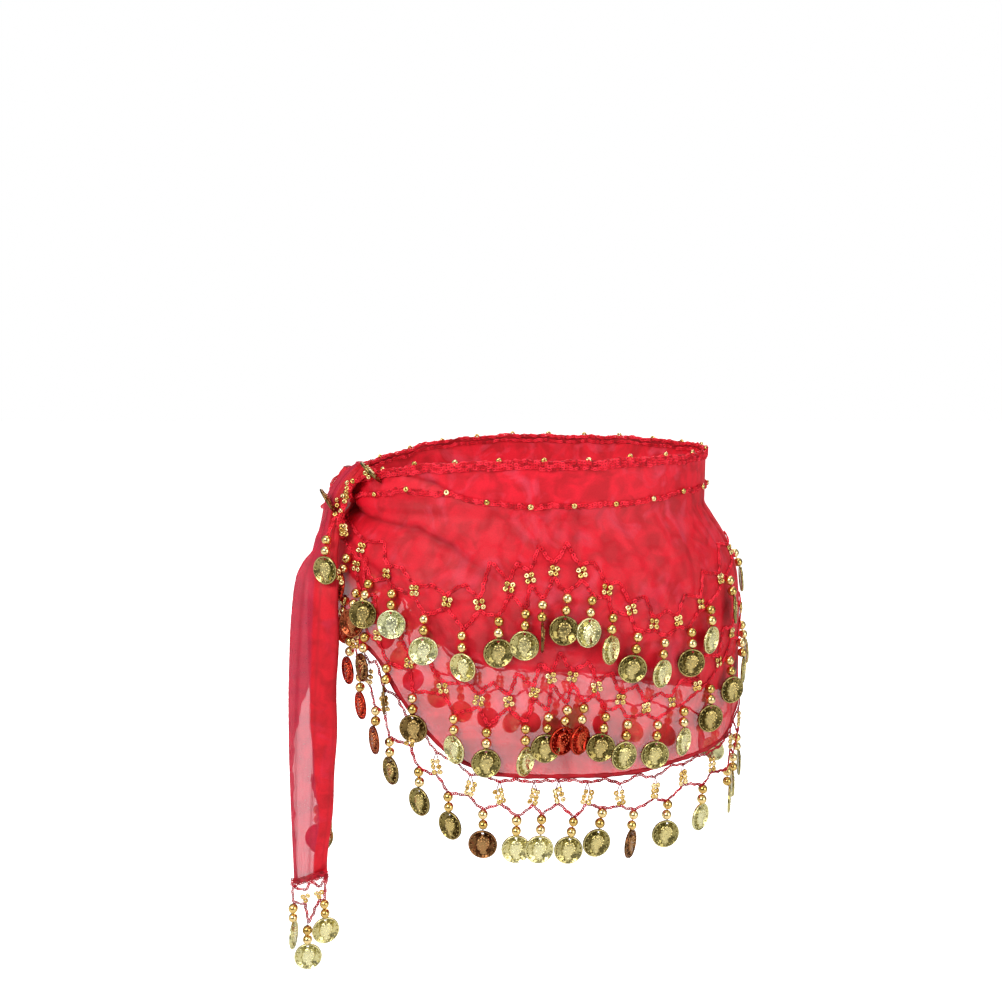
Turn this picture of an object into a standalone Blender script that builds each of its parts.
"""Belly dance hip scarf, worn: a band of chiffon round the hips, tied in a knot at the wearer's side.

Two rows of crocheted lace lie on the cloth and a third hangs from its hem. Each carries dangles, and
a dangle is two large beads with a coin under them. Metres, +Z up. The cloth is a hollow tube round a
general figure. A place on it is given by its angle round the figure (0 at the knot and -X, 90 at -Y,
180 at +X, 270 at +Y) and by its drop, the height below the level of the top edge.
"""
import bisect
import math
from collections import namedtuple

import bmesh
import bpy
from mathutils import Vector

# Cloth
TOP_LEVEL = 0.015           # height of the top edge over the origin, which lies at the waist
WALL = 0.0016               # the chiffon with its turned edges
SEAM_GAP = 0.0003           # between pieces that touch
KNOT_ANGLE = 7.0            # where the two ends of the band meet, under the knot
SIDE_ANGLE = 180.0          # where the band is parted into a front and a back
SEAM_DEGREES = 0.09         # half the gap between front and back, as an angle
PANEL_COLUMNS = 30
PANEL_ROWS = 11
COLUMN_CROWDING = 0.40      # share by which the columns close up towards the knot

# Crocheted chains
CHAIN = 0.0024              # width of a crocheted chain
CHAIN_DEPTH = 0.0018        # its thickness
CHAIN_SEAT = 0.0012         # clearance between the cloth and what lies on it
CLUSTER_HALF = 0.0032       # half the width of a cluster of four small beads
CLUSTER_RISE = 0.0040       # half its height
ROOT_HALF = 0.0013          # half the width of the loop that a dangle hangs from
PITCH_WIDE = 0.0290         # from dangle to dangle on the slopes of a swag
PITCH_TIGHT = 0.0175        # from dangle to dangle at its peak
PEAK_ANGLES = (99.0, 180.0, 261.0)
PEAK_SPREAD = 13.0          # degrees each side of a peak where the dangles crowd

# Dangles
COIN_RADIUS = 0.0103
COIN_THICK = 0.0012
COIN_SIDES = 8
COIN_DROP = 0.0168          # from the root to the coin's top
STAND_OFF = 0.0062          # how far a coin hangs in front of its chain
COIN_TURN = 15.0            # degrees that the coins turn out of the cloth, like louvres
COIN_TURN_SWING = 6.0       # and how far that varies from one to the next
SWING_STEP = 2.4            # radians from one coin's swing to the next

# Drape
HEM_WAVES = 11
HEM_WAVE = 0.0018
PLEATS = 3                  # gathers that run into the knot, on each side
PLEAT_HEIGHT = 0.0017
PLEAT_REACH = 24.0          # degrees from the knot in which they fade
KNOT_DENT = 0.0065          # how deep the knot sits in the waist
KNOT_DENT_SPREAD = 13.0
ANGLE_METRES = 0.0027       # one degree round the hips, for the widths of the folds

Level = namedtuple("Level", "drop half_width half_depth")
FIGURE = (
    Level(0.000, 0.1416, 0.1000),
    Level(0.038, 0.1416, 0.1000),
    Level(0.050, 0.1480, 0.1040),
    Level(0.064, 0.1570, 0.1095),
    Level(0.080, 0.1645, 0.1145),
    Level(0.100, 0.1695, 0.1195),
    Level(0.130, 0.1715, 0.1230),
    Level(0.450, 0.1715, 0.1230),
)

# Each line of the scarf on its front half. The back half mirrors it.
Place = namedtuple("Place", "angle drop")
TOP_EDGE = (
    Place(7, 0.018), Place(14, 0.018), Place(24, 0.016), Place(40, 0.012), Place(54, 0.005), Place(68, 0.002),
    Place(95, 0.000), Place(180, 0.000),
)
HEM = (
    Place(7, 0.060), Place(20, 0.066), Place(34, 0.076), Place(46, 0.110), Place(51, 0.138),
    Place(57, 0.170), Place(64, 0.194), Place(72, 0.212), Place(84, 0.222), Place(104, 0.225),
    Place(130, 0.224), Place(147, 0.219), Place(162, 0.211), Place(180, 0.204),
)
BEADED_LINE = (
    Place(7, 0.036), Place(24, 0.031), Place(40, 0.025), Place(54, 0.022), Place(68, 0.024),
    Place(93, 0.030), Place(119, 0.029), Place(154, 0.025), Place(180, 0.026),
)
UPPER_SWAG = (
    Place(7, 0.046), Place(24, 0.055), Place(39, 0.066), Place(51, 0.081), Place(61, 0.090),
    Place(71, 0.097), Place(79, 0.093), Place(90, 0.079), Place(98, 0.073), Place(105, 0.078),
    Place(114, 0.100), Place(122, 0.113), Place(130, 0.114), Place(138, 0.106), Place(150, 0.091),
    Place(166, 0.078), Place(180, 0.073),
)
LOWER_SWAG = (
    Place(40, 0.080), Place(46, 0.102), Place(52, 0.126), Place(60, 0.144), Place(69, 0.159),
    Place(79, 0.167), Place(86, 0.165), Place(93, 0.154), Place(99, 0.148), Place(106, 0.156),
    Place(114, 0.169), Place(122, 0.176), Place(131, 0.174), Place(142, 0.162), Place(156, 0.142),
    Place(168, 0.129), Place(180, 0.123),
)

# A row of lace: the line that its clusters of small beads follow, how far that line lies below the
# table's, the heights of its upper chain's peaks and of its dangles' roots from that line, and how far
# it leans square to a sloping line. Near the knot a row passes over the one below: there its chain is
# lifted and its coins are flung out, and both fade in a span of degrees from its start.
Lace = namedtuple("Lace", "name line below start dangles peak root lean lift fling span swing")
LACES = (
    Lace("lace_upper", UPPER_SWAG, 0.000, 39.0, 16, 0.0130, 0.0150, 0.5, 0.0014, 0.0060, 40.0, 0.0),
    Lace("lace_lower", LOWER_SWAG, 0.000, 49.0, 15, 0.0130, 0.0150, 0.5, 0.0034, 0.0000, 24.0, 1.1),
    Lace("hem_net", HEM, 0.0145, 42.5, 17, 0.0170, 0.0145, 0.9, 0.0006, 0.0000, 20.0, 2.0),
)

# A ridge (or, below zero, a crease) from one place on the front to another, mirrored on the back.
Fold = namedtuple("Fold", "angle_a drop_a angle_b drop_b height width")
FOLDS = (
    Fold(14, 0.038, 76, 0.071, -0.0016, 0.0060),
    Fold(14, 0.030, 80, 0.052, 0.0020, 0.0080),
    Fold(18, 0.050, 72, 0.092, 0.0018, 0.0090),
    Fold(44, 0.008, 70, 0.022, -0.0010, 0.0060),
    Fold(112, 0.050, 128, 0.150, 0.0014, 0.0120),
)

# Cross-sections of a dangle below its root: share is how much of STAND_OFF it has there.
Bead = namedtuple("Bead", "drop half_width half_depth share")
STRAND = (
    Bead(0.0045, 0.0034, 0.0034, 0.50),
    Bead(0.0087, 0.0011, 0.0011, 0.62),
    Bead(0.0128, 0.0034, 0.0034, 0.72),
)

# Sections of a hanging end: a strip with both edges folded to its back. The turn, in degrees, brings its
# right edge forward. The front one comes over the knot from the band's upper edge.
Section = namedtuple("Section", "drop x y width turn")
FRONT_TAIL = (
    Section(0.0040, -0.1247, -0.0500, 0.0150, 55),
    Section(0.0107, -0.1306, -0.0470, 0.0230, 50),
    Section(0.0183, -0.1372, -0.0475, 0.0226, 42),
    Section(0.0313, -0.1445, -0.0510, 0.0210, 34),
    Section(0.0488, -0.1476, -0.0570, 0.0195, 24),
    Section(0.0668, -0.1506, -0.0670, 0.0209, 14),
    Section(0.0763, -0.1546, -0.0725, 0.0276, 9),
    Section(0.0866, -0.1568, -0.0775, 0.0321, 5),
    Section(0.1028, -0.1576, -0.0830, 0.0344, 2),
    Section(0.1326, -0.1591, -0.0855, 0.0360, 0),
    Section(0.1791, -0.1615, -0.0855, 0.0363, 0),
    Section(0.2147, -0.1626, -0.0850, 0.0358, 0),
    Section(0.2450, -0.1638, -0.0850, 0.0338, 0),
    Section(0.2850, -0.1656, -0.0850, 0.0298, 0),
    Section(0.3230, -0.1672, -0.0850, 0.0258, 0),
)
REAR_TAIL = (
    Section(0.0423, -0.1600, -0.0270, 0.0130, 0),
    Section(0.0650, -0.1610, -0.0410, 0.0170, 0),
    Section(0.0900, -0.1600, -0.0560, 0.0200, 0),
    Section(0.1250, -0.1575, -0.0660, 0.0215, 0),
    Section(0.1650, -0.1558, -0.0680, 0.0220, 0),
    Section(0.2100, -0.1555, -0.0680, 0.0225, 0),
    Section(0.2500, -0.1558, -0.0680, 0.0230, 0),
)
TAIL_DEPTH = 0.0042         # between the front layer and the folded edges, middle to middle
TAIL_RETURN = 0.30          # width of a folded edge, as a share of the strip's
TAIL_SKEW = 0.08            # its two folded edges differ by twice this share
TAIL_BOW = 0.0010           # how far the strip's middle bows forward

# The knot: level sections of its core, then the end that is wrapped round it.
KnotLevel = namedtuple("KnotLevel", "drop x y half_x half_y")
KNOT_CORE = (
    KnotLevel(0.0110, -0.1415, -0.0180, 0.0025, 0.0060),
    KnotLevel(0.0150, -0.1430, -0.0190, 0.0038, 0.0100),
    KnotLevel(0.0210, -0.1450, -0.0200, 0.0042, 0.0120),
    KnotLevel(0.0280, -0.1468, -0.0210, 0.0035, 0.0105),
    KnotLevel(0.0345, -0.1488, -0.0218, 0.0034, 0.0100),
    KnotLevel(0.0420, -0.1560, -0.0250, 0.0058, 0.0130),
)
KNOT_SIDES = 12
WRAP_DROP = 0.0270          # level of the wrapped turn's middle
WRAP_CENTRE = (-0.1464, -0.0220)
WRAP_REACH = (0.0064, 0.0180)
WRAP_SECTION = (0.0018, 0.0055)
WRAP_SWEEP = (-94.0, 76.0)  # its two ends, in degrees from straight out
WRAP_TILT = 0.16            # rise of the turn from its one side to the other, per metre of depth
WRAP_STEPS = 12
WRAP_SIDES = 6
KNOT_ROOT = (-0.1495, -0.0700, 0.0552)   # x, y and drop of the loose dangle's root in front of the knot
KNOT_STRAP = (-0.1453, -0.0612, 0.0443)  # x, y and drop where its chain leaves the cloth
KNOT_STAND = 0.5            # how far that dangle stands off, as a share of those on the cloth
KNOT_TURN = 8.0
KNOT_SLOPE = 0.76           # how far it leans out with the cloth under it, per metre of its drop

RED = (0.76, 0.02, 0.035, 1.0)
DEEP_RED = (0.60, 0.01, 0.02, 1.0)
GOLD = (0.83, 0.62, 0.22, 1.0)


def smooth(table, x, column=1):
    """Reads a table's column at x on one smooth curve through its rows."""
    keys = [row[0] for row in table]
    x = min(max(x, keys[0]), keys[-1])
    i = min(max(bisect.bisect_right(keys, x) - 1, 0), len(keys) - 2)
    span = keys[i + 1] - keys[i]
    t = (x - keys[i]) / span

    def slope(k):
        if k == 0 or k == len(keys) - 1:
            return 0.0
        before = (table[k][column] - table[k - 1][column]) / (keys[k] - keys[k - 1])
        after = (table[k + 1][column] - table[k][column]) / (keys[k + 1] - keys[k])
        if before * after <= 0.0:
            return 0.0
        return 2.0 * before * after / (before + after)

    a, b = table[i][column], table[i + 1][column]
    rise = b - a
    first, last = slope(i) * span, slope(i + 1) * span
    return a + t * (first + t * ((3 * rise - 2 * first - last) + t * (first + last - 2 * rise)))


def level_of(table, angle):
    """Drop of one of the scarf's lines at an angle; the back mirrors the front."""
    return smooth(table, min(angle, 360.0 - angle))


def hump(distance, width):
    return math.exp(-(distance / width) ** 2)


def figure_point(angle, drop, out=0.0):
    """A point on the general figure that wears the scarf."""
    a = smooth(FIGURE, drop, 1) + out
    b = smooth(FIGURE, drop, 2) + out
    turn = math.radians(angle)
    return Vector((-a * math.cos(turn), -b * math.sin(turn), TOP_LEVEL - drop))


def round_speed(angle, drop):
    """Metres round the figure for one degree, at an angle and a drop."""
    a, b = smooth(FIGURE, drop, 1), smooth(FIGURE, drop, 2)
    turn = math.radians(angle)
    return math.radians(math.hypot(a * math.sin(turn), b * math.cos(turn)))


def fold_lift(angle, share, drop):
    """How far the cloth stands off the figure: gathers at the knot, laid folds and the hem's waves."""
    near = min(angle, 360.0 - angle)
    from_knot = near - KNOT_ANGLE if angle < 180.0 else near + KNOT_ANGLE
    fade = math.exp(-max(from_knot, 0.0) / PLEAT_REACH)
    lift = PLEAT_HEIGHT * fade * (1.0 - math.cos(2.0 * math.pi * PLEATS * share))
    lift -= KNOT_DENT * hump(from_knot, KNOT_DENT_SPREAD)
    lift += HEM_WAVE * share ** 3 * (1.0 - fade) * (1.0 - math.cos(math.radians(HEM_WAVES * angle)))
    for fold in FOLDS:
        run = (fold.angle_b - fold.angle_a) * ANGLE_METRES
        fall = fold.drop_b - fold.drop_a
        across = (near - fold.angle_a) * ANGLE_METRES
        down = drop - fold.drop_a
        along = (across * run + down * fall) / (run * run + fall * fall)
        off_line = abs(down * run - across * fall) / math.hypot(run, fall)
        beyond = max(-along, along - 1.0, 0.0) * math.hypot(run, fall)
        lift += fold.height * hump(off_line, fold.width) * hump(beyond, 2.0 * fold.width)
    return lift


class Cloth:
    """A panel's points: the side that touches the wearer, and which way is out at each."""

    def __init__(self, first, last, crowd_at_start):
        self.angles = []
        for i in range(PANEL_COLUMNS + 1):
            t = i / PANEL_COLUMNS
            s = t if crowd_at_start else 1.0 - t
            s = (1.0 - COLUMN_CROWDING) * s + COLUMN_CROWDING * s * s
            self.angles.append(first + (last - first) * (s if crowd_at_start else 1.0 - s))
        self.tops = [level_of(TOP_EDGE, angle % 360.0) for angle in self.angles]
        self.hems = [level_of(HEM, angle % 360.0) for angle in self.angles]
        self.inner = []
        self.outward = []
        for i, angle in enumerate(self.angles):
            column = [self.drape(angle, j / PANEL_ROWS) for j in range(PANEL_ROWS + 1)]
            self.inner.append(column)
            self.outward.append([self.out_at(angle, j / PANEL_ROWS) for j in range(PANEL_ROWS + 1)])

    @staticmethod
    def drape(angle, share):
        place = angle % 360.0
        top, hem = level_of(TOP_EDGE, place), level_of(HEM, place)
        drop = top + (hem - top) * share
        return figure_point(angle, drop, fold_lift(place, share, drop))

    def out_at(self, angle, share):
        step_angle, step_share = 0.6, 0.02
        across = self.drape(angle + step_angle, share) - self.drape(angle - step_angle, share)
        down = self.drape(angle, share + step_share) - self.drape(angle, share - step_share)
        return down.cross(across).normalized()

    def point(self, angle, drop, out):
        """A point a distance out from the panel's own facets, or straight below its hem."""
        i = min(max(bisect.bisect_right(self.angles, angle) - 1, 0), PANEL_COLUMNS - 1)
        t = (angle - self.angles[i]) / (self.angles[i + 1] - self.angles[i])
        top = self.tops[i] * (1 - t) + self.tops[i + 1] * t
        hem = self.hems[i] * (1 - t) + self.hems[i + 1] * t
        row = min(max((drop - top) / (hem - top), 0.0), 1.0) * PANEL_ROWS
        j = min(int(row), PANEL_ROWS - 1)
        s = row - j
        corners = (
            (i, j, (1 - t) * (1 - s)), (i + 1, j, t * (1 - s)),
            (i, j + 1, (1 - t) * s), (i + 1, j + 1, t * s),
        )
        base, normal = Vector(), Vector()
        for column, line, weight in corners:
            base += weight * self.inner[column][line]
            normal += weight * self.outward[column][line]
        if drop > hem:
            base += figure_point(angle, drop) - figure_point(angle, hem)
            flat = Vector((normal.x, normal.y, 0.0))
            normal = normal.lerp(flat, min((drop - hem) / CHAIN / 2.0, 1.0))
        return base + normal.normalized() * (WALL + out)


def side_directions(angle):
    """Level unit vectors at an angle: on round the figure, and out from it."""
    a, b = FIGURE[-1].half_width, FIGURE[-1].half_depth
    turn = math.radians(angle)
    across = Vector((a * math.sin(turn), -b * math.cos(turn), 0.0)).normalized()
    return across, Vector((across.y, -across.x, 0.0))


def material(name, color, roughness, metallic=0.0):
    finish = bpy.data.materials.get(name) or bpy.data.materials.new(name)
    finish.use_nodes = True
    shader = finish.node_tree.nodes["Principled BSDF"]
    shader.inputs["Base Color"].default_value = color
    shader.inputs["Roughness"].default_value = roughness
    shader.inputs["Metallic"].default_value = metallic
    finish.diffuse_color = color
    return finish


def add_object(name, mesh_builder, finish):
    """Makes a named object of a bmesh, with its material."""
    mesh = bpy.data.meshes.new(name)
    mesh_builder.normal_update()
    mesh_builder.to_mesh(mesh)
    mesh_builder.free()
    mesh.materials.append(finish)
    result = bpy.data.objects.new(name, mesh)
    bpy.context.scene.collection.objects.link(result)
    return result


def bridge(build, upper, lower):
    """Joins two rings of points that run the same way, seen from outside."""
    count = len(upper)
    for i in range(count):
        k = (i + 1) % count
        build.faces.new((upper[k], upper[i], lower[i], lower[k]))


def loft(build, rings):
    """A closed body through rings, capped at both ends."""
    rings = [[build.verts.new(point) for point in ring] for ring in rings]
    for upper, lower in zip(rings, rings[1:]):
        bridge(build, upper, lower)
    build.faces.new(rings[0])
    build.faces.new(rings[-1][::-1])


def slab(build, fronts, backs, faces, open_edges=()):
    """A flat net with a front and a back: faces are given on the front, and its rims get walls."""
    front = {key: build.verts.new(point) for key, point in fronts.items()}
    back = {key: build.verts.new(point) for key, point in backs.items()}
    edges = set()
    for face in faces:
        build.faces.new([front[key] for key in face])
        build.faces.new([back[key] for key in reversed(face)])
        edges.update(zip(face, face[1:] + face[:1]))
    for a, b in edges:
        if (b, a) not in edges and (a, b) not in open_edges:
            build.faces.new((front[b], front[a], back[a], back[b]))
    return front, back


def dangle(build, ring, place, across, outward, stand_off, turn):
    """Two beads and a coin that hang from a root; place(drop, out) gives a point below the root."""
    for bead in STRAND:
        centre = place(bead.drop, bead.share * stand_off)
        side, depth = across * bead.half_width, outward * bead.half_depth
        corners = (depth - side, depth + side, side - depth, -side - depth)
        lower = [build.verts.new(centre + corner) for corner in corners]
        bridge(build, ring, lower)
        ring = lower
    swing = math.radians(turn)
    side = across * math.cos(swing) + outward * math.sin(swing)
    depth = (outward * math.cos(swing) - across * math.sin(swing)) * (COIN_THICK / 2.0)
    half_side = math.pi / COIN_SIDES
    top_gap = COIN_RADIUS * math.cos(half_side)
    centre = place(COIN_DROP, stand_off) - Vector((0.0, 0.0, top_gap))
    front, back = [], []
    for k in range(COIN_SIDES):
        around = half_side * (2 * k + 1)
        up = Vector((0.0, 0.0, COIN_RADIUS * math.cos(around)))
        rim = centre - side * (COIN_RADIUS * math.sin(around)) + up
        front.append(build.verts.new(rim + depth))
        back.append(build.verts.new(rim - depth))
    bridge(build, ring, [front[0], front[-1], back[-1], back[0]])
    build.faces.new(front)
    build.faces.new(back[::-1])
    for k in range(COIN_SIDES - 1):
        build.faces.new((front[k + 1], front[k], back[k], back[k + 1]))


def pitch_at(angle):
    crowding = max(hump(angle - peak, PEAK_SPREAD) for peak in PEAK_ANGLES)
    return PITCH_WIDE - (PITCH_WIDE - PITCH_TIGHT) * crowding


def spaced_angles(lace, count):
    """Angles from the lace's start to the side, spaced by the pitch that the swag has there."""
    step = 0.25
    angles, travelled = [lace.start], [0.0]
    while angles[-1] < SIDE_ANGLE:
        here = angles[-1]
        rise = level_of(lace.line, here + step) - level_of(lace.line, here)
        run = round_speed(here, level_of(lace.line, here) + lace.below) * step
        angles.append(here + step)
        travelled.append(travelled[-1] + math.hypot(run, rise) / pitch_at(here))
    spaced = []
    for k in range(count + 1):
        goal = travelled[-1] * k / count
        i = min(max(bisect.bisect_left(travelled, goal), 1), len(travelled) - 1)
        share = (goal - travelled[i - 1]) / (travelled[i] - travelled[i - 1])
        spaced.append(angles[i - 1] + share * step)
    return spaced


# Faces of a cluster: a pointed top, a square middle and a pointed foot.
CLUSTER_FACES = ("ut ul ur", "ul dl dr ur", "dl db dr")


def lace_row(lace, cloth, on_back):
    """One half of a row of lace: clusters between two chains, and a dangle at each low point.

    Clusters stand at the even places and dangles hang at the odd ones. The last place is at the side,
    where the front half keeps the dangle that both share.
    """
    build = bmesh.new()
    places = spaced_angles(lace, 2 * lace.dangles - 1)
    fronts, backs, faces, roots = {}, {}, [], []

    def spot(angle, along, down):
        """Angle and drop of a point of the net, laid out square to the line by its lean."""
        step = 0.5
        drop = level_of(lace.line, angle) + lace.below
        speed = round_speed(angle, drop)
        rise = level_of(lace.line, angle + step) - level_of(lace.line, angle - step)
        tilt = lace.lean * math.atan(rise / (2 * step * speed))
        across = along * math.cos(tilt) - down * math.sin(tilt)
        return angle + across / speed, drop + along * math.sin(tilt) + down * math.cos(tilt)

    def near_knot(angle):
        return min(max(2.0 * (lace.start + lace.span - angle) / lace.span, 0.0), 1.0)

    def seat(angle):
        """Clearance from the cloth to the back of the chain."""
        return CHAIN_SEAT + lace.lift * near_knot(angle)

    def put(key, angle, along, down):
        place, drop = spot(angle, along, down)
        place = min(place, SIDE_ANGLE - 2.0 * SEAM_DEGREES)
        if on_back:
            place = 360.0 - place
        fronts[key] = cloth.point(place, drop, seat(angle) + CHAIN_DEPTH)
        backs[key] = cloth.point(place, drop, seat(angle))

    for k, angle in enumerate(places):
        last = k == len(places) - 1
        if k % 2 == 0:
            put((k, "ut"), angle, 0.0, -CLUSTER_RISE - CHAIN)
            put((k, "ul"), angle, -CLUSTER_HALF, -CLUSTER_RISE)
            put((k, "ur"), angle, CLUSTER_HALF, -CLUSTER_RISE)
            put((k, "dl"), angle, -CLUSTER_HALF, CLUSTER_RISE)
            put((k, "dr"), angle, CLUSTER_HALF, CLUSTER_RISE)
            put((k, "db"), angle, 0.0, CLUSTER_RISE + CHAIN)
            for names in CLUSTER_FACES:
                faces.append([(k, name) for name in names.split()])
        else:
            inset = -ROOT_HALF if last else 0.0
            put((k, "pt"), angle, 0.0, -lace.peak)
            put((k, "pb"), angle, 0.0, -lace.peak + CHAIN)
            put((k, "vt"), angle, inset, lace.root - CHAIN)
            put((k, "vl"), angle, inset - ROOT_HALF, lace.root)
            put((k, "vr"), angle, inset + ROOT_HALF, lace.root)
            faces.append([(k, "vt"), (k, "vl"), (k, "vr")])
            if not (last and on_back):
                roots.append((k, angle, inset))
        if k:
            a, b = k - 1, k
            if k % 2:
                faces.append([(a, "ut"), (a, "ur"), (b, "pb"), (b, "pt")])
                faces.append([(a, "dr"), (a, "db"), (b, "vl"), (b, "vt")])
            else:
                faces.append([(a, "pt"), (a, "pb"), (b, "ul"), (b, "ut")])
                faces.append([(a, "vt"), (a, "vr"), (b, "db"), (b, "dl")])
    if on_back:
        faces = [face[::-1] for face in faces]
    ends = [(((k, "vr"), (k, "vl")) if on_back else ((k, "vl"), (k, "vr"))) for k, _, _ in roots]
    front, back = slab(build, fronts, backs, faces, ends)
    for number, (k, angle, inset) in enumerate(roots):
        place, drop = spot(angle, inset, lace.root)
        place = 360.0 - place if on_back else place
        left, right = ends[number]
        across, outward = side_directions(place)
        turn = COIN_TURN + COIN_TURN_SWING * math.sin(SWING_STEP * number + lace.swing)

        def below(fall, out, place=place, drop=drop, middle=seat(angle) + CHAIN_DEPTH / 2.0):
            return cloth.point(place, drop + fall, middle + out)

        ring = [front[left], front[right], back[right], back[left]]
        reach = STAND_OFF + lace.fling * near_knot(angle)
        dangle(build, ring, below, across, outward, reach, -turn if on_back else turn)
    return build


def panel(cloth):
    """A cloth wall: outer and inner faces on the panel's points, with rims."""
    build = bmesh.new()
    columns, rows = len(cloth.angles), PANEL_ROWS + 1
    fronts, backs = {}, {}
    for i in range(columns):
        for j in range(rows):
            fronts[i, j] = cloth.inner[i][j] + cloth.outward[i][j] * WALL
            backs[i, j] = cloth.inner[i][j]
    faces = []
    for i in range(columns - 1):
        for j in range(rows - 1):
            faces.append([(i, j), (i, j + 1), (i + 1, j + 1), (i + 1, j)])
    slab(build, fronts, backs, faces)
    return build


def edge_chain(cloth, drops, out, rise):
    """A four-sided crocheted chain along a line of the panel, out from the cloth or above its edge."""
    build = bmesh.new()
    rings = []
    for angle, drop in zip(cloth.angles, drops):
        base = cloth.point(angle, drop, 0.0)
        away = (cloth.point(angle, drop, CHAIN) - base).normalized()
        up = Vector((0.0, 0.0, 1.0))
        middle = base + away * out + up * rise
        side, top = away * (CHAIN / 2.0), up * (CHAIN / 2.0)
        rings.append([middle + side + top, middle - side + top, middle - side - top, middle + side - top])
    loft(build, rings)
    return build


def tail_ring(section, side):
    """One level section of a hanging end: a strip whose edges are folded to the back."""
    half = section.width / 2.0
    depth = TAIL_DEPTH
    left_return = section.width * (TAIL_RETURN - side * TAIL_SKEW)
    right_return = section.width * (TAIL_RETURN + side * TAIL_SKEW)
    bend = depth / 2.0
    middle = [
        (-half + left_return, depth), (-half + bend, depth), (-half, bend), (-half + bend, 0.0),
        (0.0, -TAIL_BOW),
        (half - bend, 0.0), (half, bend), (half - bend, depth), (half - right_return, depth),
    ]
    outer, inner = [], []
    for k, (x, y) in enumerate(middle):
        before, after = middle[max(k - 1, 0)], middle[min(k + 1, len(middle) - 1)]
        dx, dy = after[0] - before[0], after[1] - before[1]
        size = math.hypot(dx, dy)
        nx, ny = dy / size, -dx / size
        outer.append((x + nx * WALL / 2.0, y + ny * WALL / 2.0))
        inner.append((x - nx * WALL / 2.0, y - ny * WALL / 2.0))
    swing = math.radians(section.turn)
    across = Vector((math.cos(swing), -math.sin(swing), 0.0))
    inward = Vector((math.sin(swing), math.cos(swing), 0.0))
    centre = Vector((section.x, section.y, TOP_LEVEL - section.drop))
    return [centre + across * x + inward * (y - depth / 2.0) for x, y in outer + inner[::-1]]


def tail(sections, side):
    build = bmesh.new()
    loft(build, [tail_ring(section, side) for section in sections])
    return build


# The net at a hanging end: places across it as shares of the end's width, and falls below the end.
NetPoint = namedtuple("NetPoint", "across fall")
TAIL_NET = {
    "a1": NetPoint(-0.50, -0.0030), "a2": NetPoint(-0.50, 0.0006),
    "b1": NetPoint(-0.25, -0.0030), "b2": NetPoint(-0.34, 0.0006), "b3": NetPoint(-0.16, 0.0006),
    "c1": NetPoint(0.00, -0.0030), "c2": NetPoint(0.00, 0.0006),
    "d1": NetPoint(0.25, -0.0030), "d2": NetPoint(0.16, 0.0006), "d3": NetPoint(0.34, 0.0006),
    "e1": NetPoint(0.50, -0.0030), "e2": NetPoint(0.50, 0.0006),
    "b4": NetPoint(-0.38, 0.0085), "b5": NetPoint(-0.12, 0.0085),
    "b6": NetPoint(-0.38, 0.0150), "b7": NetPoint(-0.12, 0.0150), "b8": NetPoint(-0.25, 0.0172),
    "d4": NetPoint(0.12, 0.0085), "d5": NetPoint(0.38, 0.0085),
    "d6": NetPoint(0.12, 0.0150), "d7": NetPoint(0.38, 0.0150), "d8": NetPoint(0.25, 0.0172),
    "l1": NetPoint(-0.64, 0.0136), "l2": NetPoint(-0.69, 0.0160), "l3": NetPoint(-0.58, 0.0160),
    "m1": NetPoint(0.00, 0.0350), "m2": NetPoint(-0.055, 0.0375), "m3": NetPoint(0.055, 0.0375),
    "r1": NetPoint(0.64, 0.0136), "r2": NetPoint(0.58, 0.0160), "r3": NetPoint(0.69, 0.0160),
}
TAIL_NET_FACES = (
    "a1 a2 b2 b1", "b1 b2 b3", "b1 b3 c2 c1", "c1 c2 d2 d1", "d1 d2 d3", "d1 d3 e2 e1",
    "b2 b4 b5 b3", "b4 b6 b7 b5", "b6 b8 b7", "d2 d4 d5 d3", "d4 d6 d7 d5", "d6 d8 d7",
    "l1 l3 b8 b6", "l1 l2 l3", "b7 b8 m2 m1", "m1 m2 m3", "m1 m3 d8 d6", "d7 d8 r2 r1", "r1 r2 r3",
)
TAIL_ROOTS = ("l2 l3", "m2 m3", "r2 r3")
TAIL_TURNS = (68.0, 8.0, 20.0)
TAIL_SPREAD = 4.0           # how the outer dangles spread, per metre of their drop
TAIL_STAND = 1.0 / 3.0      # how far they stand off the net, as a share of those on the cloth


def tail_net(section):
    """The crocheted net with three dangles at a hanging end, sewn on its front."""
    build = bmesh.new()
    across, outward = Vector((1.0, 0.0, 0.0)), Vector((0.0, -1.0, 0.0))
    seat = section.y - TAIL_DEPTH / 2.0 - TAIL_BOW - WALL / 2.0 - SEAM_GAP

    def spot(share, fall, out):
        return Vector((section.x + share * section.width, seat - out, TOP_LEVEL - section.drop - fall))

    fronts = {key: spot(net.across, net.fall, CHAIN_DEPTH) for key, net in TAIL_NET.items()}
    backs = {key: spot(net.across, net.fall, 0.0) for key, net in TAIL_NET.items()}
    faces = [names.split() for names in TAIL_NET_FACES]
    ends = [tuple(names.split()) for names in TAIL_ROOTS]
    front, back = slab(build, fronts, backs, faces, ends)
    for (left, right), turn in zip(ends, TAIL_TURNS):
        share = (TAIL_NET[left].across + TAIL_NET[right].across) / 2.0
        root_fall = TAIL_NET[left].fall

        def below(fall, out, share=share, root_fall=root_fall):
            stand = CHAIN_DEPTH / 2.0 + out * TAIL_STAND
            return spot(share * (1.0 + fall * TAIL_SPREAD), root_fall + fall, stand)

        ring = [front[left], front[right], back[right], back[left]]
        dangle(build, ring, below, across, outward, STAND_OFF, turn)
    return build


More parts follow.
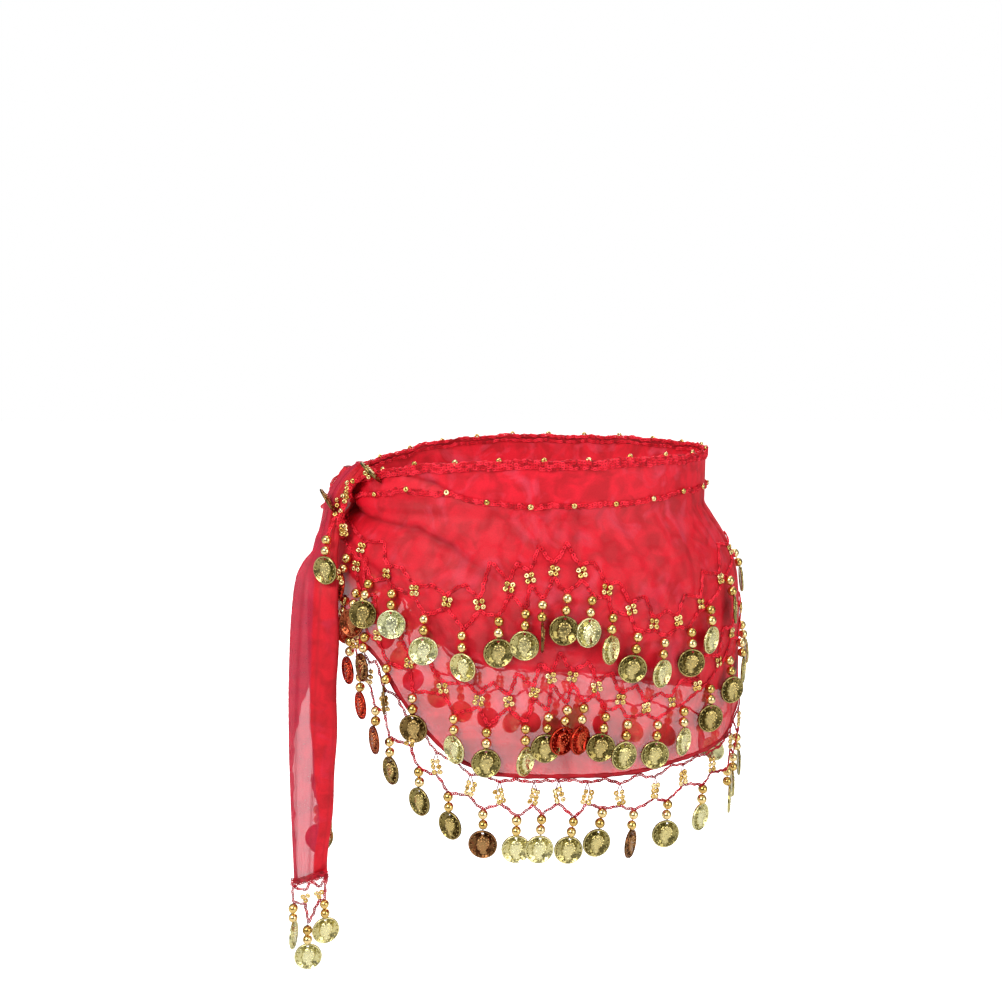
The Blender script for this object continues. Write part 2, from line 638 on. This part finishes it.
def knot_core():
    build = bmesh.new()
    rings = []
    for level in KNOT_CORE:
        ring = []
        for k in range(KNOT_SIDES):
            turn = 2.0 * math.pi * k / KNOT_SIDES
            x = level.x + level.half_x * math.cos(turn)
            y = level.y + level.half_y * math.sin(turn)
            ring.append(Vector((x, y, TOP_LEVEL - level.drop)))
        rings.append(ring)
    loft(build, rings)
    return build


def knot_wrap():
    """The end that is tied over: a flattened turn round the outside of the knot's core, tilted."""
    rings = []
    first, last = WRAP_SWEEP
    for k in range(WRAP_STEPS + 1):
        turn = math.radians(last + (first - last) * k / WRAP_STEPS)
        away = Vector((-math.cos(turn), math.sin(turn), 0.0))
        x = WRAP_CENTRE[0] + WRAP_REACH[0] * away.x
        y = WRAP_CENTRE[1] + WRAP_REACH[1] * away.y
        middle = Vector((x, y, TOP_LEVEL - WRAP_DROP + WRAP_TILT * WRAP_REACH[1] * away.y))
        ring = []
        for m in range(WRAP_SIDES):
            around = 2.0 * math.pi * m / WRAP_SIDES
            lift = Vector((0.0, 0.0, WRAP_SECTION[1] * math.sin(around)))
            ring.append(middle + away * (WRAP_SECTION[0] * math.cos(around)) + lift)
        rings.append(ring)
    build = bmesh.new()
    loft(build, rings)
    return build


def knot_lace():
    """The chain of the upper lace that runs on over the knot, with its one loose dangle."""
    build = bmesh.new()
    across, outward = Vector((1.0, 0.0, 0.0)), Vector((0.0, -1.0, 0.0))
    top = Vector((KNOT_STRAP[0], KNOT_STRAP[1], TOP_LEVEL - KNOT_STRAP[2]))
    root = Vector((KNOT_ROOT[0], KNOT_ROOT[1], TOP_LEVEL - KNOT_ROOT[2]))
    half = across * ROOT_HALF
    fronts = {"tl": top - half, "tr": top + half, "rl": root - half, "rr": root + half}
    step = outward * CHAIN_DEPTH
    fronts = {key: point + step for key, point in fronts.items()}
    backs = {key: point - step for key, point in fronts.items()}
    front, back = slab(build, fronts, backs, [["tl", "rl", "rr", "tr"]], [("rl", "rr")])

    def below(fall, out):
        stand = CHAIN_DEPTH / 2.0 + out * KNOT_STAND + fall * KNOT_SLOPE
        return root + outward * stand - Vector((0.0, 0.0, fall))

    ring = [front["rl"], front["rr"], back["rr"], back["rl"]]
    dangle(build, ring, below, across, outward, STAND_OFF, KNOT_TURN)
    return build


def main():
    for old in list(bpy.data.objects):
        bpy.data.objects.remove(old, do_unlink=True)
    chiffon = material("chiffon", RED, 0.65)
    crochet = material("crochet", DEEP_RED, 0.80)
    gilt = material("gilt", GOLD, 0.25, 1.0)

    front = Cloth(KNOT_ANGLE + SEAM_DEGREES, SIDE_ANGLE - SEAM_DEGREES, True)
    back = Cloth(SIDE_ANGLE + SEAM_DEGREES, 360.0 + KNOT_ANGLE - SEAM_DEGREES, False)
    above = SEAM_GAP + CHAIN / 2.0
    for side, cloth in (("front", front), ("back", back)):
        add_object("panel_" + side, panel(cloth), chiffon)
        edging = edge_chain(cloth, cloth.tops, -WALL / 2.0, above)
        add_object("top_edging_" + side, edging, crochet)
        drops = [level_of(BEADED_LINE, angle % 360.0) for angle in cloth.angles]
        line = edge_chain(cloth, drops, CHAIN_SEAT + CHAIN / 2.0, 0.0)
        add_object("beaded_line_" + side, line, crochet)
        for lace in LACES:
            add_object(lace.name + "_" + side, lace_row(lace, cloth, side == "back"), gilt)
    add_object("knot_core", knot_core(), chiffon)
    add_object("knot_wrap", knot_wrap(), chiffon)
    add_object("knot_lace", knot_lace(), gilt)
    add_object("tail_front", tail(FRONT_TAIL, 1), chiffon)
    add_object("tail_rear", tail(REAR_TAIL, -1), chiffon)
    add_object("tail_net_front", tail_net(FRONT_TAIL[-1]), gilt)
    add_object("tail_net_rear", tail_net(REAR_TAIL[-1]), gilt)


main()
